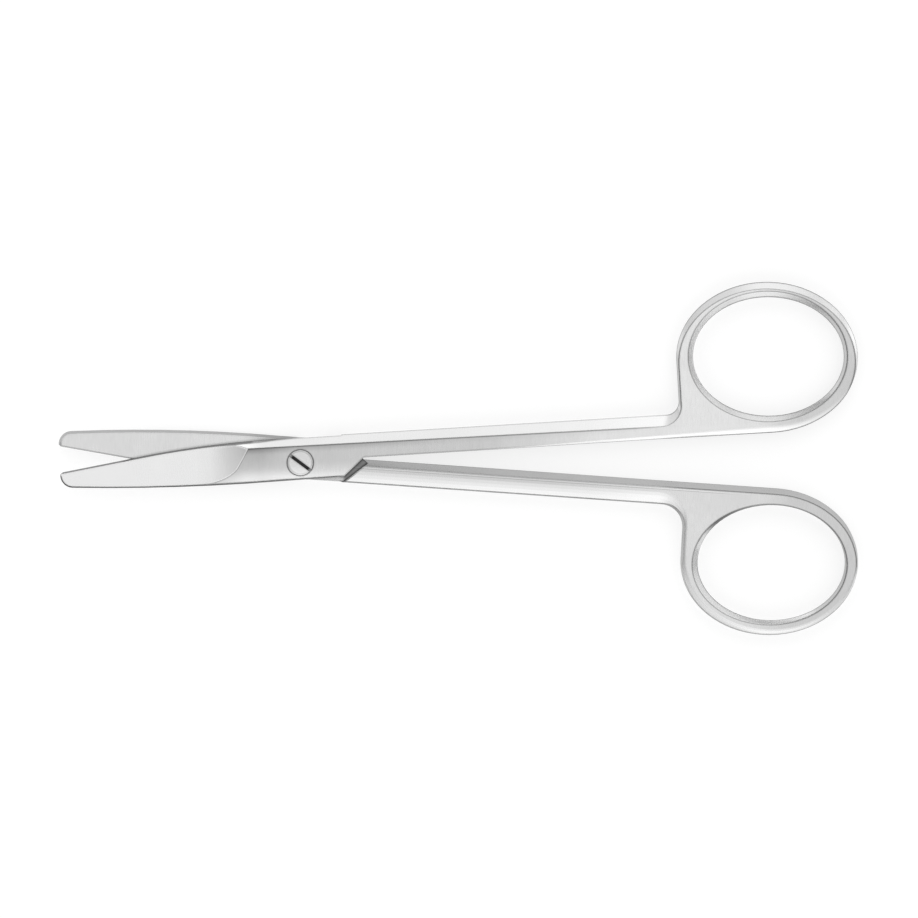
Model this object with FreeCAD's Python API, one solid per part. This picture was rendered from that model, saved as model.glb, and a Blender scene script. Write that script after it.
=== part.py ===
import FreeCAD, Part
import math
import os

from FreeCAD import Vector

# Iris scissors: two forged halves that cross in a lap joint and turn on one slotted screw.
# Millimetres and degrees. The screw's axis is Z at the origin, the rings lie towards +X, and z = 0 is the
# table. Both halves have the same design, and hand finishing leaves them slightly different. The bottom half
# lies turned over about the midline, which runs along X at half the joint's thickness, and the screw sits a
# little to one side of it. Places in a half are measured along X from the screw's axis and along Y from the
# midline.

# Joint
joint_thickness = 3.2
lap_clearance = 0.03
pivot_offset = 0.62
lap_end_x = 9.1
lap_end_angle = 44.0
lap_corner_x = 6.33
shoulder_gap = 1.02
shoulder_angle = 37.7
lap_edge_rounding_radius = 12.0
lap_edge_rounding_start = 1.3
lap_half_width = 2.97
lap_side_angle = 3.4
lap_spine_bulge = 0.03

# Screw
head_diameter = 3.7
head_cone_angle = 90.0
head_clearance = 0.05
screw_shank_diameter = 2.1
shank_clearance = 0.03
thread_diameter = 1.8
slot_width = 0.47
slot_depth = 0.45
slot_angle = -36.5

# Shank
handle_thickness = 3.0
shank_width = 3.56
shank_angle = 3.47
shank_inner_start = -0.414
shank_start_x = 5.9
inner_wall_lean = 0.93
outer_wall_lean = 0.2
web_start_x = 52.0

# Bevel along the outer edge of the outer face
bevel_width_at_joint = 1.33
bevel_width_at_stalk = 1.7
bevel_depth = 0.7

# Rounding of the mating face along the outer edge
rounding_width = 2.26
rounding_width_at_stalk = 0.75
rounding_width_far = 0.9
rounding_width_free_end = 0.35
rounding_edge_angle = 32.0
rounding_steps = 5

# Rounding of the outer face along the side of the midline, from nothing at the joint
near_rounding_width = 1.1
near_rounding_width_at_web = 0.6
near_rounding_edge_angle = 28.0
near_rounding_steps = 4

# Finger rings
hole_length = 21.78
hole_width = 17.1
hole_x = 67.39
hole_y = 14.7
wall_stalk_side = 2.48
wall_free_end = 2.0
wall_far = 2.22
wall_near = 2.52
end_wall_lean = 0.35
ring_bevel_width_far = 1.08
ring_bevel_width_ends = 0.4
stalk_lean = 3.4
stalk_fillet = 1.9

# Sloped edge of the finger hole on each face, and its widths: stalk side, free end, near side, far side
hole_edge_depth = 0.72
outer_hole_edge_widths = (0.7, 0.4, 0.86, 0.8)
mating_hole_edge_widths = (0.8, 0.2, 0.08, 0.65)

# Blades
tip_reach = 34.65
tip_radius = 1.9
spine_at_tip = 4.21
spine_bulge = 0.36
spine_end_x = -3.0
spine_at_lap = 3.28
spine_lean = 0.4
spine_lean_outer = 0.2
edge_angle = 11.2
edge_turn_x = -21.0
edge_turn_y = 0.64
edge_curve_bulge = 0.37
edge_run_out_x = -6.0
edge_bevel_width = 0.29
edge_bevel_height = 1.0
tip_spine_thickness = 0.95
blade_taper = 1.15
blade_wedge = 5.1
run_out_radius = 45.0
run_out_x = -7.54

# How much more of each the bottom half has than the top half
more_shank_angle = 0.48
more_shank_inner_start = -0.091
more_hole_length = -0.51
more_hole_width = -0.52
more_hole_x = 0.41
more_hole_y = 0.3
more_stalk_fillet = 1.3
more_tip_reach = 0.31
more_spine_at_tip = -0.25
more_spine_bulge = 0.12
more_edge_angle = -1.25

# Room that cutting solids reach past the metal, and that they leave where they only pass it by
past = 5.0
clear = 0.3

middle = joint_thickness / 2
lap_bottom = middle + lap_clearance / 2
handle_bottom = joint_thickness - handle_thickness


def turned(angle):
    """Unit vector in plan at this angle from +X."""
    return Vector(math.cos(math.radians(angle)), math.sin(math.radians(angle)), 0)


def crossing(p, p_direction, q, q_direction):
    """Point in plan where two lines cross."""
    normal = Vector(-q_direction.y, q_direction.x, 0)
    return p + p_direction * ((q - p).dot(normal) / p_direction.dot(normal))


def raised(point, z):
    return Vector(point.x, point.y, z)


def line(p, q, z):
    return Part.LineSegment(raised(p, z), raised(q, z)).toShape()


def arc(p, via, q, z):
    return Part.Arc(raised(p, z), raised(via, z), raised(q, z)).toShape()


def bulged(p, q, bulge, z):
    """Arc from p to q whose middle stands off the chord by bulge, to the left of the way from p to q."""
    way = q - p
    left = Vector(-way.y, way.x, 0).normalize()
    return arc(p, (p + q) * 0.5 + left * bulge, q, z)


def prism(points, z, height):
    """Upright solid over a polygon in plan."""
    corners = [raised(p, z) for p in points]
    return Part.Face(Part.makePolygon(corners + corners[:1])).extrude(Vector(0, 0, height))


def ruled_solid(wires):
    """Solid between closed wires, joined edge to edge by straight rules."""
    return Part.makeLoft(wires, True, True)


class Half:
    """The measures in which one half differs from the other."""

    def __init__(
        self,
        shank_angle,
        shank_inner_start,
        hole_length,
        hole_width,
        hole_x,
        hole_y,
        stalk_fillet,
        tip_reach,
        spine_at_tip,
        spine_bulge,
        edge_angle,
    ):
        self.shank_angle = shank_angle
        self.shank_inner_start = shank_inner_start
        self.hole_length = hole_length
        self.hole_width = hole_width
        self.hole_x = hole_x
        self.hole_y = hole_y
        self.stalk_fillet = stalk_fillet
        self.tip_reach = tip_reach
        self.spine_at_tip = spine_at_tip
        self.spine_bulge = spine_bulge
        self.edge_angle = edge_angle


top_measures = Half(
    shank_angle,
    shank_inner_start,
    hole_length,
    hole_width,
    hole_x,
    hole_y,
    stalk_fillet,
    tip_reach,
    spine_at_tip,
    spine_bulge,
    edge_angle,
)
bottom_measures = Half(
    shank_angle + more_shank_angle,
    shank_inner_start + more_shank_inner_start,
    hole_length + more_hole_length,
    hole_width + more_hole_width,
    hole_x + more_hole_x,
    hole_y + more_hole_y,
    stalk_fillet + more_stalk_fillet,
    tip_reach + more_tip_reach,
    spine_at_tip + more_spine_at_tip,
    spine_bulge + more_spine_bulge,
    edge_angle + more_edge_angle,
)


class Oval:
    """Ellipse in plan, given by how far it reaches to each side, with insets that shrink it."""

    def __init__(self, left, right, near, far):
        self.centre = Vector((left + right) / 2, (near + far) / 2, 0)
        self.long = (right - left) / 2
        self.short = (far - near) / 2

    def at(self, angle):
        return self.centre + Vector(self.long * math.cos(angle), self.short * math.sin(angle), 0)

    def edge(self, start, end, z):
        curve = Part.Ellipse(raised(self.centre, z), self.long, self.short)
        return Part.ArcOfEllipse(curve, start, end).toShape()

    def wire(self, z):
        return Part.Wire(Part.Ellipse(raised(self.centre, z), self.long, self.short).toShape())

    def stalk_tangent(self):
        """Angle at which a stalk that leans by stalk_lean touches the side next to the shank."""
        lean = math.tan(math.radians(stalk_lean))
        return math.pi + math.atan(self.short * lean / self.long)

    def tangent_from(self, point):
        """Angle at which a line from a point beside the shank touches the side next to the midline."""
        x = (point.x - self.centre.x) / self.long
        y = (point.y - self.centre.y) / self.short
        return math.atan2(y, x) + math.acos(1 / math.hypot(x, y))


def hole_oval(half, left=0.0, right=0.0, near=0.0, far=0.0):
    """The finger hole, with its sides moved outwards by these widths."""
    return Oval(
        half.hole_x - half.hole_length / 2 - left,
        half.hole_x + half.hole_length / 2 + right,
        half.hole_y - half.hole_width / 2 - near,
        half.hole_y + half.hole_width / 2 + far,
    )


def ring_oval(half, left=0.0, right=0.0, near=0.0, far=0.0):
    """The ring's outer side, with its sides moved inwards by these widths."""
    return hole_oval(
        half, wall_stalk_side - left, wall_free_end - right, wall_near - near, wall_far - far
    )


def shank_inner(half, x):
    rise = x * math.tan(math.radians(half.shank_angle))
    return Vector(x, half.shank_inner_start + rise, 0)


def shank_outer(half, x):
    return shank_inner(half, x) + Vector(0, shank_width, 0)


class OuterSide:
    """Outer side of shank, stalk and ring: a line, a fillet, a line and part of an ellipse, all tangent."""

    def __init__(self, half, start_x, inset_at_joint, inset_at_stalk, oval, fillet_growth):
        fillet = half.stalk_fillet * (1 + fillet_growth)
        joint = shank_outer(half, 0) - Vector(0, inset_at_joint, 0)
        stalk = shank_outer(half, web_start_x) - Vector(0, inset_at_stalk, 0)
        along = (stalk - joint).normalize()
        self.start = joint + along * ((start_x - joint.x) / along.x)
        self.oval = oval
        self.touch = oval.stalk_tangent()
        up = turned(90 + stalk_lean)
        corner = crossing(joint, along, oval.at(self.touch), up)
        half_turn = math.acos(along.dot(up)) / 2
        reach = fillet * math.tan(half_turn)
        self.shank_end = corner - along * reach
        self.stalk_start = corner + up * reach
        inward = (up - along).normalize()
        self.bend = corner + inward * (fillet / math.cos(half_turn) - fillet)

    def edges(self, z):
        """From the ellipse back along the stalk to the start of the shank."""
        return [
            line(self.oval.at(self.touch), self.stalk_start, z),
            arc(self.stalk_start, self.bend, self.shank_end, z),
            line(self.shank_end, self.start, z),
        ]


def handle_wire(half, z, side, inner_inset):
    """Closed outline of shank and ring."""
    first = shank_inner(half, shank_start_x) + Vector(0, inner_inset, 0)
    web = shank_inner(half, web_start_x) + Vector(0, inner_inset, 0)
    touch = side.oval.tangent_from(web)
    return Part.Wire(
        [
            line(first, web, z),
            line(web, side.oval.at(touch), z),
            side.oval.edge(touch, side.touch, z),
            *side.edges(z),
            line(side.start, first, z),
        ]
    )


def open_wire(z, side):
    """Outline that follows the outer side and stands well clear of the metal on the side of the midline."""
    bottom = side.oval.at(-math.pi / 2)
    right = Vector(bottom.x, -2 * past, 0)
    left = Vector(side.start.x, -2 * past, 0)
    return Part.Wire(
        [
            side.oval.edge(-math.pi / 2, side.touch, z),
            *side.edges(z),
            line(side.start, left, z),
            line(left, right, z),
            line(right, bottom, z),
        ]
    )


def leaning_handle(half):
    """Shank and ring at full thickness, with the walls that lean in towards the mating face."""
    outer = OuterSide(half, shank_start_x, 0, 0, ring_oval(half), 0)
    leaned = ring_oval(half, end_wall_lean, end_wall_lean, inner_wall_lean, outer_wall_lean)
    mating = OuterSide(half, shank_start_x, outer_wall_lean, outer_wall_lean, leaned, 0)
    return ruled_solid(
        [
            handle_wire(half, handle_bottom, mating, inner_wall_lean),
            handle_wire(half, joint_thickness, outer, 0),
        ]
    )


def outer_bevel_envelope(half):
    """Everything under the bevel that follows the outer edge of the outer face."""
    start_x = -half.tip_reach - past

    def wire(z, share):
        ends = ring_bevel_width_ends * share
        oval = ring_oval(half, ends, ends, -clear * share, ring_bevel_width_far * share)
        side = OuterSide(
            half,
            start_x,
            bevel_width_at_joint * share,
            bevel_width_at_stalk * share,
            oval,
            share / 2,
        )
        return open_wire(z, side)

    crest = wire(joint_thickness, 1)
    foot = wire(joint_thickness - 2 * bevel_depth, -1)
    lowest = wire(-past, -1)
    return ruled_solid([lowest, foot, crest])


def rounded_mating_envelope(half):
    """Everything above the rounding of the mating face along its outer edge."""
    radius = rounding_width / math.sin(math.radians(rounding_edge_angle))

    def wire(z, share):
        oval = ring_oval(
            half,
            rounding_width_at_stalk * share,
            rounding_width_free_end * share,
            -clear,
            rounding_width_far * share,
        )
        width = rounding_width * share
        return open_wire(z, OuterSide(half, -past, width, width, oval, share / 2))

    wires = []
    for step in range(rounding_steps + 1):
        angle = math.radians(rounding_edge_angle * step / rounding_steps)
        share = 1 - radius * math.sin(angle) / rounding_width
        wires.append(wire(handle_bottom + radius * (1 - math.cos(angle)), share))
    rise = radius * (1 - math.cos(math.radians(rounding_edge_angle)))
    slope = math.tan(math.radians(rounding_edge_angle))
    beyond = -clear / rounding_width
    wires.append(wire(handle_bottom + rise + clear * slope, beyond))
    wires.append(wire(joint_thickness + past, beyond))
    return ruled_solid(wires)


def near_rounding_envelope(half):
    """Everything under the rounding of the outer face along the side of the midline."""
    radius = near_rounding_width / math.sin(math.radians(near_rounding_edge_angle))
    slope = math.tan(math.radians(near_rounding_edge_angle))
    left = -half.tip_reach - past
    far = half.hole_y + half.hole_width

    def wire(z, share):
        oval = ring_oval(half, -clear, -clear, near_rounding_width * share, -clear)
        first = shank_inner(half, lap_end_x) - Vector(0, clear, 0)
        web = shank_inner(half, web_start_x) + Vector(0, near_rounding_width_at_web * share, 0)
        touch = oval.tangent_from(web)
        end = oval.at(0)
        corners = [
            end,
            Vector(end.x, far, 0),
            Vector(left, far, 0),
            Vector(left, -2 * past, 0),
            Vector(first.x, -2 * past, 0),
            first,
            web,
            oval.at(touch),
        ]
        lines = [line(p, q, z) for p, q in zip(corners, corners[1:])]
        return Part.Wire([oval.edge(touch, 0, z), *lines])

    wires = []
    for step in range(near_rounding_steps + 1):
        angle = math.radians(near_rounding_edge_angle * step / near_rounding_steps)
        share = 1 - radius * math.sin(angle) / near_rounding_width
        wires.append(wire(joint_thickness - radius * (1 - math.cos(angle)), share))
    beyond = -clear / near_rounding_width
    drop = radius * (1 - math.cos(math.radians(near_rounding_edge_angle))) + clear * slope
    wires.append(wire(joint_thickness - drop, beyond))
    wires.append(wire(-past, beyond))
    return ruled_solid(wires)


def shoulder_cut(other):
    """Everything before the shoulder, up to the lap, where the other half's lap turns."""
    away = turned(90 - shoulder_angle)
    along = turned(-shoulder_angle)
    foot = Vector(lap_end_x, -shank_inner(other, lap_end_x).y, 0) + away * shoulder_gap
    far_up = foot - along * 3 * past
    far_down = foot + along * 3 * past
    back = away * (-6 * past)
    return prism([far_up, far_down, far_down + back, far_up + back], -past, lap_bottom + past)


def blade_wire(half, z, edge_inset, spine_inset):
    """Closed outline of blade and lap."""
    nose = Vector(-half.tip_reach + tip_radius, -half.spine_at_tip + tip_radius, 0)
    radius = tip_radius - spine_inset
    down = Vector(0, -1, 0)
    edge_way = turned(half.edge_angle)
    inward = turned(half.edge_angle - 90)
    turn = Vector(edge_turn_x, edge_turn_y, 0) + inward * edge_inset
    to_line = (nose - turn).dot(inward)
    along = math.sqrt(radius**2 - to_line**2)
    corner = nose - inward * to_line - edge_way * along
    middle_of_nose = nose + (corner - nose + down * radius).normalize() * radius
    nose_end = nose + down * radius

    lap_upper = Vector(0, lap_half_width, 0)
    chord = lap_upper - Vector(edge_turn_x, edge_turn_y, 0)
    share = (edge_run_out_x - edge_turn_x) / -edge_turn_x
    off_chord = 4 * share * (1 - share) * edge_curve_bulge
    left = Vector(-chord.y, chord.x, 0).normalize()
    run_out = Vector(edge_turn_x, edge_turn_y, 0) + chord * share + left * off_chord - left * edge_inset
    first_bulge = edge_curve_bulge * share**2
    last_bulge = edge_curve_bulge * (1 - share) ** 2

    lap_end = shank_inner(half, lap_end_x)
    in_shank = lap_end + turned(lap_end_angle) * shank_width
    lap_side_end = lap_upper + turned(lap_side_angle) * (shank_start_x + lap_end_x) / 2
    lap_corner = crossing(lap_end, turned(lap_end_angle), Vector(lap_corner_x, 0, 0), down)
    spine_end = Vector(spine_end_x, -spine_at_lap + spine_inset, 0)
    return Part.Wire(
        [
            line(corner, turn, z),
            bulged(turn, run_out, first_bulge, z),
            bulged(run_out, lap_upper, last_bulge, z),
            line(lap_upper, lap_side_end, z),
            line(lap_side_end, in_shank, z),
            line(in_shank, lap_corner, z),
            bulged(lap_corner, spine_end, lap_spine_bulge, z),
            bulged(spine_end, nose_end, half.spine_bulge, z),
            arc(nose_end, middle_of_nose, corner, z),
        ]
    )


def blade_and_lap(half):
    """Blade and lap at the lap's full height, with the sharpened edge and the leaning spine."""
    full = joint_thickness - lap_bottom
    outer_edge_inset = edge_bevel_width * full / edge_bevel_height
    return ruled_solid(
        [
            blade_wire(half, lap_bottom, 0, spine_lean),
            blade_wire(half, lap_bottom + edge_bevel_height, edge_bevel_width, 0),
            blade_wire(half, joint_thickness, outer_edge_inset, spine_lean_outer),
        ]
    )


def blade_face_cut(half):
    """What is ground off the outer face of the blade: a tapered wedge that runs out in an arc."""
    taper = math.tan(math.radians(blade_taper))
    across = math.tan(math.radians(blade_wedge))
    crest = shank_outer(half, run_out_x).y - bevel_width_at_joint
    at_tip = lap_bottom + tip_spine_thickness - across * (crest + half.spine_at_tip)

    def face_line(x):
        return Vector(x, crest, at_tip + taper * (x + half.tip_reach))

    upward = Vector(-taper, 0, 1).normalize()
    along = Vector(1, 0, taper).normalize()
    top = Vector(run_out_x, crest, joint_thickness)
    height = (top - face_line(run_out_x)).dot(upward)
    reach = math.sqrt(2 * run_out_radius * height - height**2)
    start = top - upward * height - along * reach
    centre = start + upward * run_out_radius

    def on_arc(angle):
        turn = math.radians(angle)
        return centre + (along * math.sin(turn) - upward * math.cos(turn)) * run_out_radius

    end = on_arc(2 * math.degrees(math.asin(reach / run_out_radius)))
    first = face_line(-half.tip_reach - past)
    ceiling = end.z + past
    profile = Part.Wire(
        [
            Part.LineSegment(first, start).toShape(),
            Part.Arc(start, top, end).toShape(),
            Part.makePolygon(
                [end, Vector(end.x, crest, ceiling), Vector(first.x, crest, ceiling), first]
            ),
        ]
    )
    face = Part.Face(profile)
    sideways = Vector(0, 1, -across) * 3 * past
    face.translate(-sideways)
    return face.extrude(sideways * 2)


def lap_edge_rounding_cut():
    """What the rounding takes off the outer face of the lap along the edge opposite the bevel."""
    start_x = -tip_reach - past
    length = lap_end_x - start_x
    edge = -lap_edge_rounding_start
    radius = lap_edge_rounding_radius
    centre = Vector(start_x, edge, joint_thickness - radius)
    drum = Part.makeCylinder(radius, length, centre, Vector(1, 0, 0))
    block = Part.makeBox(
        length, radius, radius + past, Vector(start_x, edge - radius, joint_thickness - radius)
    )
    return block.cut(drum)


def finger_hole_cut(half):
    """Finger hole: a throat with a sloped edge on each face, wide where a finger bears."""

    def widened(widths):
        """The hole where its sloped edge has gone on for as far again past the face."""
        return hole_oval(half, *[2 * width for width in widths])

    return ruled_solid(
        [
            widened(mating_hole_edge_widths).wire(handle_bottom - hole_edge_depth),
            hole_oval(half).wire(handle_bottom + hole_edge_depth),
            hole_oval(half).wire(joint_thickness - hole_edge_depth),
            widened(outer_hole_edge_widths).wire(joint_thickness + hole_edge_depth),
        ]
    )


def forged_half(half, other):
    """One half before its screw hole is made, with its outer face up."""
    handle = leaning_handle(half).common(rounded_mating_envelope(half))
    handle = handle.cut(shoulder_cut(other))
    body = handle.fuse(blade_and_lap(half))
    body = body.common(outer_bevel_envelope(half))
    body = body.common(near_rounding_envelope(half))
    body = body.cut(blade_face_cut(half))
    body = body.cut(lap_edge_rounding_cut())
    body = body.cut(finger_hole_cut(half))
    return body.removeSplitter()


def turned_over(shape):
    """Turned half a turn about the midline, outer face down."""
    shape.rotate(Vector(0, 0, middle), Vector(1, 0, 0), 180)
    return shape


def round_bar(diameter, bottom, top):
    return Part.makeCylinder(diameter / 2, top - bottom, Vector(0, -pivot_offset, bottom))


def head_cone(foot_radius, face_radius, rise):
    """Cone that widens upwards to face_radius at the outer face, and goes on for rise above it."""
    slope = math.tan(math.radians(head_cone_angle / 2))
    height = (face_radius - foot_radius) / slope
    foot = Vector(0, -pivot_offset, joint_thickness - height)
    return Part.makeCone(foot_radius, face_radius + rise * slope, height + rise, foot)


def screw_hole_cut():
    """Plain hole and countersink in the top half."""
    radius = screw_shank_diameter / 2 + shank_clearance
    hole = round_bar(2 * radius, lap_bottom - past, joint_thickness)
    return hole.fuse(head_cone(radius, head_diameter / 2 + head_clearance, past))


def pivot_screw():
    """Countersunk slotted screw, ground flush with both outer faces."""
    head = head_cone(screw_shank_diameter / 2, head_diameter / 2, 0)
    shank = round_bar(screw_shank_diameter, middle - lap_clearance / 2, head.BoundBox.ZMin)
    thread = round_bar(thread_diameter, 0, middle)
    screw = head.fuse(shank).fuse(thread)
    screw = screw.cut(lap_edge_rounding_cut())
    slot = Part.makeBox(
        head_diameter * 2,
        slot_width,
        slot_depth + past,
        Vector(-head_diameter, -slot_width / 2, joint_thickness - slot_depth),
    )
    slot.rotate(Vector(0, 0, 0), Vector(0, 0, 1), slot_angle)
    slot.translate(Vector(0, -pivot_offset, 0))
    return screw.cut(slot).removeSplitter()


def save(name, shape):
    """Moves a finished piece so that the screw's axis is at the origin, and writes it."""
    shape.translate(Vector(0, pivot_offset, 0))
    solid = shape.Solids[0] if len(shape.Solids) == 1 else shape
    solid.exportStep(os.path.join("parts", name + ".step"))
    print(name, "solids", len(shape.Solids), "valid", shape.isValid(), "volume", round(shape.Volume, 2))


def main():
    os.makedirs("parts", exist_ok=True)
    top = forged_half(top_measures, bottom_measures).cut(screw_hole_cut())
    thread_hole = round_bar(thread_diameter, -past, middle + past)
    bottom = turned_over(forged_half(bottom_measures, top_measures)).cut(thread_hole)
    save("top_half", top)
    save("bottom_half", bottom)
    save("pivot_screw", pivot_screw())


main()
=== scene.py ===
import bpy
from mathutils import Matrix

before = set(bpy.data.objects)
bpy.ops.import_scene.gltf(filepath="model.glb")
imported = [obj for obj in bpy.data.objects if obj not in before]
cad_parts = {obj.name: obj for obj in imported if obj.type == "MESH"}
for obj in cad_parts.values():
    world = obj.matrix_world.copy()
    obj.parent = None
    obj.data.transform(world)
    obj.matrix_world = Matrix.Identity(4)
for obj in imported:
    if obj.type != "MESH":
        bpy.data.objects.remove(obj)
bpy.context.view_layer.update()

MM = 0.001
SCENE = bpy.context.scene
RISING = (0.0, 1.0)
FALLING = (1.0, 0.0)


def in_mm(low, high):
    return (low * MM, high * MM)


# Camera: straight down over the middle of the photographed frame
FRAME_CENTRE = (22.83 * MM, 0.55 * MM)
FRAME_WIDTH = 132.13 * MM
FRAME_LEVEL = 2.4 * MM
CAMERA_HEIGHT = 1.0
SENSOR = 36.0
NEAREST = 0.01

# World: tones by how far a direction points from -Y (0) to +Y (1), and by its X and Z
PANEL_LEVEL = 1.35
PANEL_TONES = (
    (0.03, 1.00),
    (0.13, 0.94),
    (0.28, 0.82),
    (0.39, 0.70),
    (0.45, 0.58),
    (0.495, 0.46),
    (0.53, 0.55),
    (0.56, 0.68),
    (0.60, 0.75),
    (0.75, 0.80),
    (0.92, 0.85),
)
END_TONE = 0.78
TIP_END_SPAN = (-0.30, -0.03)
RING_END_SPAN = (0.15, 0.70)
LOW_TONE = 0.75
LOW_SPAN = (0.06, 0.30)
HORIZON_TONE = 0.85
HORIZON_SPAN = (0.02, 0.10)

# Floor
FLOOR_SIZE = 12.0
FLOOR_ALBEDO = 0.36
FLOOR_GLOW = 0.73

# Which way a half's outer face looks. The screw has no side and takes the top half's measures
UP, DOWN, NO_SIDE = 1, -1, 0

# Offset of the screw from the line midway between the halves
PIVOT_OFFSET = 0.62 * MM

# Steel
HALF_GREY = 0.78
SCREW_GREY = 0.92
HALF_GRAIN = (9000.0, 700.0, 3000.0)
SCREW_GRAIN = (6000.0, 6000.0, 3000.0)
GRAIN_NOISE = {"Scale": 1.0, "Detail": 3.0, "Roughness": 0.6}
CLOUD_NOISE = {"Scale": 160.0, "Detail": 2.0}
GRAIN_SPAN = (0.25, 0.75)
GRAIN_TONES = (0.975, 1.015)
GRAIN_BUMP = {"Strength": 0.08, "Distance": 0.004 * MM}
ROUGHNESS_SPAN = (0.3, 0.7)
GRAIN_ROUGHNESS = (0.22, 0.27)
CLOUD_ROUGHNESS = (-0.03, 0.03)

# Rounding of edges, wider rounding that finds edges and creases, and painted shade where other surfaces
# lie close
EDGE_RADIUS = 0.15 * MM
EDGE_SAMPLES = 6
CREASE_RADIUS = 0.42 * MM
CREASE_SAMPLES = 14
OCCLUSION_SHADE_REACH = 0.4 * MM
OCCLUSION_SHADE_SAMPLES = 8
OCCLUSION_SHADE_POWER = 1.3

# Faces told apart by how upright the normal is, or how far it points out of the outer face
FLAT_SPAN = (0.90, 0.96)
MATING_FACE_SPAN = (-0.98, -0.94)

# Zones along X
BLADE_END = {UP: in_mm(-7.2, -6.6), DOWN: in_mm(-3.0, 1.0)}
RING_START = in_mm(50.0, 56.0)
SHANK_START = in_mm(5.0, 7.0)
LAP_START = in_mm(-1.0, 1.0)
LAP_END = in_mm(5.4, 6.0)
LAP_SHARE = (0.0, 0.8)

# Painted shade: dark lines along edges and creases, where the widely rounded normal leaves the true one
EDGE_SHADE_TONES = (
    (0.0, 0.08),
    (0.85, 0.12),
    (0.95, 0.20),
    (0.972, 0.28),
    (0.985, 0.56),
    (0.993, 0.86),
    (0.997, 1.0),
)
EDGE_SHADE_SHARE = (1.0, 0.35)
EDGE_SPAN_UP = (0.30, 0.42)
EDGE_SPAN_DOWN = (0.04, 0.16)
INNER_SIDE_SPAN = (-0.16, -0.04)
INNER_SIDE_LOSS = (0.6, 0.0)
SPINE_SPAN = (0.02, 0.06)
SPINE_LOSS = -0.75
BLADE_EDGE_LOSS = -0.5
SCREW_EDGE_SHARE = 0.3
RING_EDGE_SHARE = 0.8
RING_SOFTNESS = 1.5

# Arc where the ground blade face runs out: a painted highlight on its ground side and a painted dark
# line beyond
GROUND_SPAN = (0.005, 0.02)
ARC_FAR_SPAN = (0.9986, 0.9998)
ARC_NEAR_SPAN = (0.982, 0.992)
ARC_HIGHLIGHT = 1.5
ARC_SHADE = -0.4
ARC_LEAN = 0.13

# Walls: painted shade. Their tone goes by the upright part of the normal, and those that face -Y are
# painted darkest
WALL_SHADE_TONES = ((0.0, 0.28), (0.16, 0.34), (0.30, 0.53), (0.50, 0.70), (0.62, 0.92), (0.68, 1.0))
BLADE_WALL_SHADE_TONES = ((0.0, 0.10), (0.27, 0.14), (0.40, 0.46), (0.60, 0.8), (0.9, 1.0))
LOW_WALL_SPAN = (-0.7, -0.4)
LOW_WALL_SHADE = (0.75, 0.0)
LOW_WALL_UPRIGHT = (0.45, 0.70)
LAP_SLOPE_UPRIGHT = (0.06, 0.18)

# Ground blade face: painted shade where it curves up to the run-out, and painted light over the blade
# towards the tip
CURVE_SPAN = (0.045, 0.17)
CURVE_SHADE_SPAN = in_mm(-3.2, 1.8)
CURVE_SHADE = (0.16, 0.30)
BLADE_SPAN = in_mm(-8.5, -5.0)
BLADE_LIGHT = (1.22, 1.0)

# Lap: painted shade towards the run-out and along its crease, a line in plan with this slope and start,
# and painted light on its far side
CREASE_LINE = {UP: (0.0535, 1.82 * MM), DOWN: (0.062, 1.72 * MM)}
CREASE_SPAN = in_mm(0.06, 0.26)
CREASE_SHADE = (0.45, 0.0)
CREASE_END = in_mm(46.0, 54.0)
UNDER_CREASE_SPAN = in_mm(0.0, 1.1)
UNDER_CREASE_SHADE = (-0.28, 0.0)
FAR_SIDE_SPAN = in_mm(2.2, 4.4)
FAR_SIDE_LIGHT = (0.0, 0.24)
FAR_SIDE_START = in_mm(-9.0, -2.0)
RUN_OUT_SLOPE = -1.3
RUN_OUT_START = 9.5 * MM
RUN_OUT_SPAN = in_mm(0.0, 7.5)
RUN_OUT_SHADE = (-0.32, 0.0)
LAP_SHADE_SPAN = in_mm(9.0, 24.0)
LAP_SHADE = (1.0, 0.3)

# Flat of the shank: painted light towards the web and painted shade again round the ring
WEB_SPAN = {UP: in_mm(20.0, 55.0), DOWN: in_mm(36.0, 58.0)}
WEB_LIGHT = {UP: (0.97, 1.38), DOWN: (0.97, 1.17)}
RING_SPAN = in_mm(64.0, 72.0)
RING_SHADE = {UP: (1.0, 0.80), DOWN: (1.0, 0.86)}

# Painted shade band with a painted highlight and a painted dark line along the bottom half's mating
# face, by millimetres in from its inner edge
BAND_LINE = (0.069, 0.425 * MM)
BAND_LIGHT_AND_SHADE = (
    (0.0, 0.78),
    (0.12, 0.74),
    (0.21, 0.88),
    (0.28, 1.0),
    (0.34, 0.88),
    (0.42, 0.62),
    (0.50, 0.86),
    (0.6, 0.87),
)
BAND_LEVEL = 1.15
BAND_START = in_mm(6.5, 8.0)
BAND_END = in_mm(58.0, 64.0)

# Slopes of the ring that face the light
LIT_SPAN = (0.25, 0.45)
LIT_GAIN = (0.0, 0.28)
LIT_LEAST_UPRIGHT = (0.35, 0.50)
LIT_MOST_UPRIGHT = (0.80, 0.92)

# Painted shade on the floor of the notch at the shoulder, at half the joint's thickness, and of the
# screw's slot
MIDDLE = 1.6 * MM
NOTCH_DEPTH = in_mm(0.1, 0.3)
NOTCH_START = in_mm(5.9, 6.5)
NOTCH_SHADE = (0.0, 0.6)
NOTCH_END = in_mm(9.6, 10.4)
SLOT_SPAN = in_mm(2.85, 3.15)
SLOT_SHADE = (0.92, 0.0)


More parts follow.
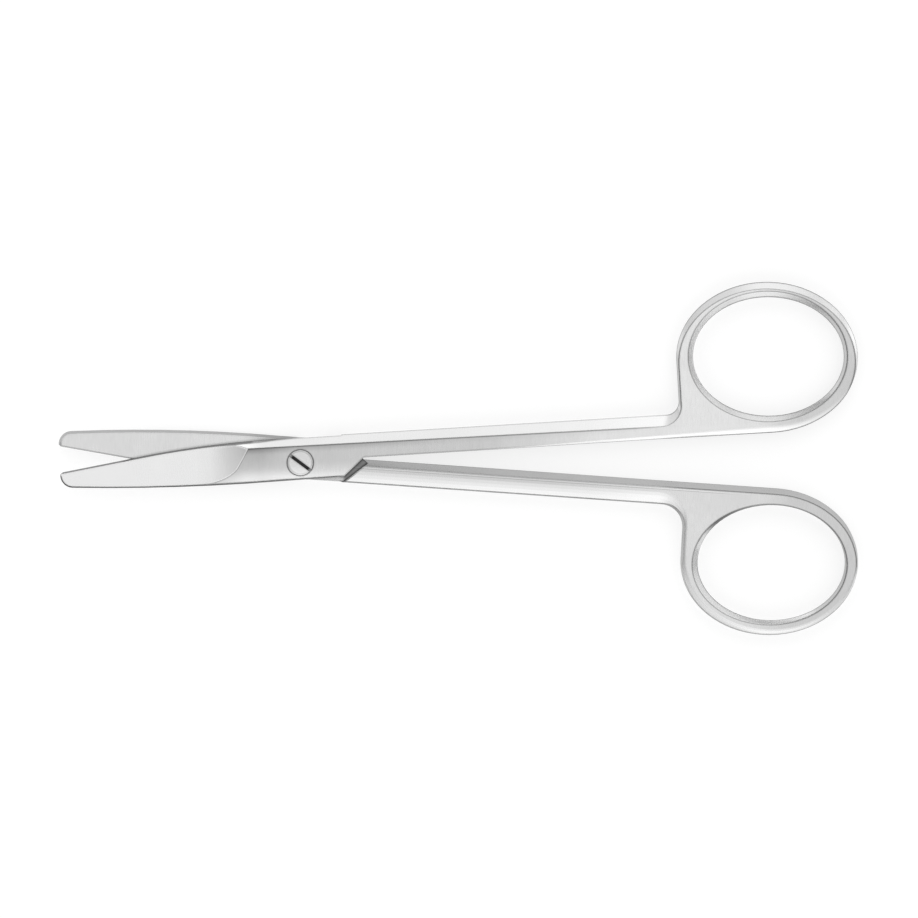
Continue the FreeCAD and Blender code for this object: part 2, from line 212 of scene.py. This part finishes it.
class Tree:
    """Short way to write a node tree."""

    def __init__(self, tree):
        self.tree = tree
        tree.nodes.clear()

    def node(self, kind, inputs=None, **settings):
        made = self.tree.nodes.new(kind)
        for key, value in settings.items():
            setattr(made, key, value)
        for key, value in (inputs or {}).items():
            self.put(made.inputs[key], value)
        return made

    def put(self, socket, value):
        if isinstance(value, bpy.types.NodeSocket):
            self.tree.links.new(value, socket)
        else:
            socket.default_value = value

    def math(self, operation, a, b=0.0, c=0.0):
        made = self.tree.nodes.new("ShaderNodeMath")
        made.operation = operation
        for socket, value in zip(made.inputs, (a, b, c)):
            self.put(socket, value)
        return made.outputs[0]

    def times(self, first, *others):
        for other in others:
            first = self.math("MULTIPLY", first, other)
        return first

    def without(self, value):
        """What is left of 1."""
        return self.math("SUBTRACT", 1.0, value)

    def changed(self, value, target, amount):
        """The value, moved to the target by an amount from 0 to 1."""
        return self.math("ADD", value, self.times(amount, self.math("SUBTRACT", target, value)))

    def partly(self, factor, amount):
        """The factor where the amount is 1, and 1 where it is 0."""
        return self.math("MULTIPLY_ADD", self.math("SUBTRACT", factor, 1.0), amount, 1.0)

    def vector(self, operation, a, b=None, scale=None):
        inputs = {0: a}
        if b is not None:
            inputs[1] = b
        if scale is not None:
            inputs["Scale"] = scale
        return self.node("ShaderNodeVectorMath", inputs, operation=operation).outputs[0]

    def parts(self, vector):
        return self.node("ShaderNodeSeparateXYZ", {"Vector": vector}).outputs

    def step(self, value, span, levels=RISING):
        """Goes smoothly from the first level to the second while the value crosses the span."""
        low, high = span
        first, second = levels
        limits = {"From Min": low, "From Max": high, "To Min": first, "To Max": second}
        return self.node(
            "ShaderNodeMapRange", {"Value": value, **limits}, interpolation_type="SMOOTHSTEP"
        ).outputs["Result"]

    def ramp(self, value, stops):
        made = self.node("ShaderNodeValToRGB", {"Fac": value})
        elements = made.color_ramp.elements
        made.color_ramp.interpolation = "EASE"
        while len(elements) < len(stops):
            elements.new(0.5)
        for element, (place, level) in zip(elements, stops):
            element.position = place
            element.color = (level, level, level, 1.0)
        return made.outputs["Color"]

    def grey(self, level):
        return self.node("ShaderNodeCombineColor", {0: level, 1: level, 2: level}).outputs[0]


def make_camera():
    data = bpy.data.cameras.new("camera")
    data.sensor_width = SENSOR
    data.lens = SENSOR * (CAMERA_HEIGHT - FRAME_LEVEL) / FRAME_WIDTH
    data.clip_start = NEAREST
    camera = bpy.data.objects.new("camera", data)
    camera.location = (FRAME_CENTRE[0], FRAME_CENTRE[1], CAMERA_HEIGHT)
    SCENE.collection.objects.link(camera)
    SCENE.camera = camera


def make_world():
    """Studio with a bright soft panel on each side of the instrument and darker ends."""
    world = bpy.data.worlds.new("studio")
    world.use_nodes = True
    SCENE.world = world
    tree = Tree(world.node_tree)
    way = tree.parts(tree.node("ShaderNodeTexCoord").outputs["Generated"])
    sideways = tree.math("MULTIPLY_ADD", way["Y"], 0.5, 0.5)
    level = tree.times(
        tree.ramp(sideways, PANEL_TONES),
        PANEL_LEVEL,
        tree.step(way["X"], TIP_END_SPAN, (END_TONE, 1.0)),
        tree.step(way["X"], RING_END_SPAN, (1.0, END_TONE)),
        tree.step(way["Z"], LOW_SPAN, (LOW_TONE, 1.0)),
    )
    level = tree.math("MAXIMUM", level, tree.step(way["Z"], HORIZON_SPAN, (HORIZON_TONE, 0.0)))
    background = tree.node("ShaderNodeBackground", {"Color": tree.grey(level), "Strength": 1.0})
    tree.node("ShaderNodeOutputWorld", {"Surface": background.outputs[0]})


def make_floor():
    bpy.ops.mesh.primitive_grid_add(x_subdivisions=2, y_subdivisions=2, size=FLOOR_SIZE)
    floor = bpy.context.object
    floor.name = "floor"
    material = bpy.data.materials.new("floor")
    material.use_nodes = True
    tree = Tree(material.node_tree)
    paths = tree.node("ShaderNodeLightPath").outputs
    seen = tree.math("MAXIMUM", paths["Is Camera Ray"], paths["Is Glossy Ray"])
    seen = tree.math("MAXIMUM", seen, paths["Is Transmission Ray"])
    diffuse = tree.node("ShaderNodeBsdfDiffuse", {"Color": (FLOOR_ALBEDO,) * 3 + (1.0,)})
    glow = tree.node("ShaderNodeEmission", {"Strength": tree.times(seen, FLOOR_GLOW)})
    both = tree.node("ShaderNodeAddShader", {0: diffuse.outputs[0], 1: glow.outputs[0]})
    tree.node("ShaderNodeOutputMaterial", {"Surface": both.outputs[0]})
    floor.data.materials.append(material)


class Spot:
    """Place, directions and zones of the spot being shaded."""

    def __init__(self, tree, side):
        self.side = side
        self.half = side or UP
        self.turn = float(self.half)
        coordinates = tree.node("ShaderNodeTexCoord").outputs
        self.place = coordinates["Object"]
        where = tree.parts(self.place)
        self.x = where["X"]
        self.y = tree.times(tree.math("SUBTRACT", where["Y"], PIVOT_OFFSET), self.turn)
        self.z = where["Z"]
        normal = tree.parts(coordinates["Normal"])
        self.normal_x = normal["X"]
        self.normal_y = normal["Y"]
        self.outwards = tree.times(normal["Z"], self.turn)
        self.upright = tree.math("ABSOLUTE", normal["Z"])
        self.outer_face = tree.step(self.outwards, FLAT_SPAN)
        self.flat = tree.step(self.upright, FLAT_SPAN)
        self.tilt = tree.times(normal["X"], -1.0)
        self.ground = tree.step(self.tilt, GROUND_SPAN)
        self.on_blade = tree.step(self.x, BLADE_END[self.half], FALLING)
        self.ring = tree.step(self.x, RING_START)
        self.rounded = tree.node(
            "ShaderNodeBevel", {"Radius": EDGE_RADIUS}, samples=EDGE_SAMPLES
        ).outputs[0]
        self.widely_rounded = tree.node(
            "ShaderNodeBevel", {"Radius": CREASE_RADIUS}, samples=CREASE_SAMPLES
        ).outputs[0]
        true_normal = tree.node("ShaderNodeNewGeometry").outputs["Normal"]
        self.bend = tree.node(
            "ShaderNodeVectorMath",
            {0: self.widely_rounded, 1: true_normal},
            operation="DOT_PRODUCT",
        ).outputs["Value"]
        if side == DOWN:
            self.lap = tree.times(
                tree.step(self.x, LAP_START, LAP_SHARE), tree.step(self.x, LAP_END, FALLING)
            )


def kept_edge_shade(tree, spot):
    """How much of the painted shade, the dark lines along edges, stays."""
    own = tree.node(
        "ShaderNodeVectorTransform",
        {"Vector": spot.widely_rounded},
        vector_type="NORMAL",
        convert_from="WORLD",
        convert_to="OBJECT",
    )
    leaning = tree.parts(own.outputs[0])["Y"]
    if spot.side == UP:
        share = tree.step(leaning, EDGE_SPAN_UP, EDGE_SHADE_SHARE)
        inner_side = tree.step(leaning, INNER_SIDE_SPAN, INNER_SIDE_LOSS)
        share = tree.math("SUBTRACT", share, tree.times(inner_side, tree.step(spot.x, SHANK_START)))
        spine = tree.times(tree.step(leaning, SPINE_SPAN), spot.on_blade, spot.outer_face)
        share = tree.times(share, tree.math("MULTIPLY_ADD", spine, SPINE_LOSS, 1.0))
    elif spot.side == DOWN:
        share = tree.times(
            tree.step(leaning, EDGE_SPAN_DOWN, EDGE_SHADE_SHARE),
            tree.math("MULTIPLY_ADD", spot.on_blade, BLADE_EDGE_LOSS, 1.0),
            tree.without(spot.lap),
        )
    else:
        share = SCREW_EDGE_SHARE
    return tree.changed(share, RING_EDGE_SHARE, spot.ring)


def painted_edges_and_normal(tree, spot):
    """Tone of the painted shade along edges and creases, of the painted highlight and painted dark line
    at the run-out, and the normal of the metal.
    """
    # Painted shade: dark lines where the widely rounded normal leaves the true one
    lines = tree.without(tree.ramp(spot.bend, EDGE_SHADE_TONES))
    edge_shade_and_glint = tree.without(tree.times(lines, kept_edge_shade(tree, spot)))
    # Painted highlight on the ground side of the run-out arc, and a painted dark line beyond it
    arc = tree.times(
        tree.step(spot.bend, ARC_FAR_SPAN, FALLING),
        tree.step(spot.bend, ARC_NEAR_SPAN),
        spot.on_blade,
        spot.outer_face,
    )
    bright = tree.times(arc, spot.ground)
    dark = tree.math("SUBTRACT", arc, bright)
    edge_shade_and_glint = tree.changed(edge_shade_and_glint, ARC_HIGHLIGHT, bright)
    edge_shade_and_glint = tree.times(edge_shade_and_glint, tree.math("MULTIPLY_ADD", dark, ARC_SHADE, 1.0))
    lean = tree.node(
        "ShaderNodeVectorTransform",
        {"Vector": (ARC_LEAN, -ARC_LEAN * spot.turn, 0.0)},
        vector_type="VECTOR",
        convert_from="OBJECT",
        convert_to="WORLD",
    )
    burnished = tree.vector("ADD", spot.rounded, tree.vector("SCALE", lean.outputs[0], scale=bright))
    soft = tree.vector("SCALE", spot.widely_rounded, scale=tree.times(spot.ring, RING_SOFTNESS))
    return edge_shade_and_glint, tree.vector("NORMALIZE", tree.vector("ADD", burnished, soft))


def wall_shade(tree, spot):
    """Painted shade on steep faces, most on those towards -Y."""
    tone = tree.math(
        "ADD",
        tree.times(tree.ramp(spot.upright, WALL_SHADE_TONES), tree.without(spot.on_blade)),
        tree.times(tree.ramp(spot.upright, BLADE_WALL_SHADE_TONES), spot.on_blade),
    )
    low = tree.times(
        tree.step(spot.normal_y, LOW_WALL_SPAN, LOW_WALL_SHADE),
        tree.step(spot.upright, LOW_WALL_UPRIGHT, FALLING),
    )
    tone = tree.times(tone, tree.without(low))
    if spot.side == DOWN:
        tone = tree.changed(tone, 1.0, tree.times(spot.lap, tree.step(spot.upright, LAP_SLOPE_UPRIGHT)))
    return tone


# Painted light over the blade and painted shade where its ground face curves up to the run-out
def blade_light_and_shade(tree, spot):
    curve_shade = tree.times(
        tree.step(spot.tilt, CURVE_SPAN),
        tree.step(spot.y, CURVE_SHADE_SPAN, CURVE_SHADE),
        spot.outer_face,
    )
    return tree.times(tree.step(spot.x, BLADE_SPAN, BLADE_LIGHT), tree.without(curve_shade))


def lap_light_and_shade(tree, spot):
    """Tone of the outer face over the lap: painted shade along its crease and towards the run-out, and
    painted light on its far side.
    """
    slope, start = CREASE_LINE[spot.half]
    below = tree.math("SUBTRACT", tree.math("MULTIPLY_ADD", spot.x, slope, start), spot.y)
    far_side_light = tree.times(
        tree.step(below, FAR_SIDE_SPAN, FAR_SIDE_LIGHT), tree.step(spot.x, FAR_SIDE_START)
    )
    run_out = tree.math("MULTIPLY_ADD", spot.y, RUN_OUT_SLOPE, tree.math("ADD", spot.x, RUN_OUT_START))
    shade = tree.math("ADD", tree.step(below, UNDER_CREASE_SPAN, UNDER_CREASE_SHADE), far_side_light)
    shade = tree.math("ADD", shade, tree.step(run_out, RUN_OUT_SPAN, RUN_OUT_SHADE))
    unground = tree.times(spot.outer_face, tree.without(spot.ground))
    lap = tree.times(tree.step(spot.x, LAP_SHADE_SPAN, LAP_SHADE), unground)
    crease = tree.times(
        tree.step(below, CREASE_SPAN, CREASE_SHADE), tree.step(spot.x, CREASE_END, FALLING), unground
    )
    return tree.times(tree.math("MULTIPLY_ADD", shade, lap, 1.0), tree.without(crease))


def shank_flat_light_and_shade(tree, spot):
    # Painted light towards the web and painted shade round the ring, on the flat
    web = tree.step(spot.x, WEB_SPAN[spot.half], WEB_LIGHT[spot.half])
    return tree.partly(tree.times(web, tree.step(spot.x, RING_SPAN, RING_SHADE[spot.half])), spot.flat)


def band(tree, spot):
    """Painted shade band with a painted highlight and a painted dark line along the bottom half's
    mating face.
    """
    slope, start = BAND_LINE
    inwards = tree.math("SUBTRACT", spot.y, tree.math("MULTIPLY_ADD", spot.x, slope, start))
    tone = tree.times(tree.ramp(tree.math("DIVIDE", inwards, MM), BAND_LIGHT_AND_SHADE), BAND_LEVEL)
    along = tree.times(
        tree.step(spot.x, BAND_START),
        tree.step(spot.x, BAND_END, FALLING),
        tree.step(spot.outwards, MATING_FACE_SPAN, FALLING),
    )
    return tree.partly(tone, along)


def lit_slopes(tree, spot):
    towards_light = spot.normal_x
    if spot.side == DOWN:
        towards_light = tree.math("ADD", spot.normal_x, spot.normal_y)
    gain = tree.times(
        tree.step(towards_light, LIT_SPAN, LIT_GAIN),
        tree.step(spot.upright, LIT_LEAST_UPRIGHT),
        tree.step(spot.upright, LIT_MOST_UPRIGHT, FALLING),
    )
    return tree.math("MULTIPLY_ADD", gain, spot.ring, 1.0)


def recess_shade(tree, spot):
    """Painted shade on the floor of the notch or of the slot."""
    if spot.side == NO_SIDE:
        return tree.step(spot.z, SLOT_SPAN, SLOT_SHADE)
    from_middle = tree.math("ABSOLUTE", tree.math("SUBTRACT", spot.z, MIDDLE))
    return tree.times(
        tree.step(from_middle, NOTCH_DEPTH, FALLING),
        tree.step(spot.x, NOTCH_START, NOTCH_SHADE),
        spot.flat,
        tree.step(spot.x, NOTCH_END, FALLING),
    )


def occlusion_shade(tree, spot):
    """Painted shade on what lies close to another surface. The lap takes little of it."""
    open_sky = tree.node(
        "ShaderNodeAmbientOcclusion", {"Distance": OCCLUSION_SHADE_REACH}, samples=OCCLUSION_SHADE_SAMPLES
    ).outputs["AO"]
    tone = tree.math("POWER", open_sky, OCCLUSION_SHADE_POWER)
    return tree.changed(tone, 1.0, spot.lap) if spot.side == DOWN else tone


def steel(name, grain, grey, side):
    """Brushed steel with painted light and shade for the half whose outer face looks to this side, or
    for the screw.
    """
    material = bpy.data.materials.new(name)
    material.use_nodes = True
    tree = Tree(material.node_tree)
    spot = Spot(tree, side)
    stretched = tree.node("ShaderNodeMapping", {"Vector": spot.place, "Scale": grain}).outputs[0]
    lines = tree.node("ShaderNodeTexNoise", {"Vector": stretched, **GRAIN_NOISE}).outputs["Fac"]
    clouds = tree.node("ShaderNodeTexNoise", {"Vector": spot.place, **CLOUD_NOISE}).outputs["Fac"]
    edge_shade_and_glint, normal = painted_edges_and_normal(tree, spot)
    # The tone carries painted shade and painted highlights as well as the grain
    tone = tree.times(
        tree.step(lines, GRAIN_SPAN, GRAIN_TONES),
        grey,
        occlusion_shade(tree, spot),
        edge_shade_and_glint,
        wall_shade(tree, spot),
        blade_light_and_shade(tree, spot),
        lap_light_and_shade(tree, spot),
        shank_flat_light_and_shade(tree, spot),
        lit_slopes(tree, spot),
        tree.without(recess_shade(tree, spot)),
    )
    if side == DOWN:
        tone = tree.times(tone, band(tree, spot))
    roughness = tree.math(
        "ADD",
        tree.step(lines, ROUGHNESS_SPAN, GRAIN_ROUGHNESS),
        tree.step(clouds, ROUGHNESS_SPAN, CLOUD_ROUGHNESS),
    )
    bump = tree.node("ShaderNodeBump", {"Height": lines, "Normal": normal, **GRAIN_BUMP})
    shader = tree.node(
        "ShaderNodeBsdfPrincipled",
        {
            "Base Color": tree.grey(tone),
            "Metallic": 1.0,
            "Roughness": roughness,
            "Normal": bump.outputs[0],
        },
    )
    tree.node("ShaderNodeOutputMaterial", {"Surface": shader.outputs[0]})
    return material


def dress(node, material):
    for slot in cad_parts[node].material_slots:
        slot.material = material


make_camera()
make_world()
make_floor()

dress("top_half", steel("top_steel", HALF_GRAIN, HALF_GREY, UP))
dress("bottom_half", steel("bottom_steel", HALF_GRAIN, HALF_GREY, DOWN))
dress("pivot_screw", steel("screw_steel", SCREW_GRAIN, SCREW_GREY, NO_SIDE))

SCENE.view_settings.view_transform = "Standard"
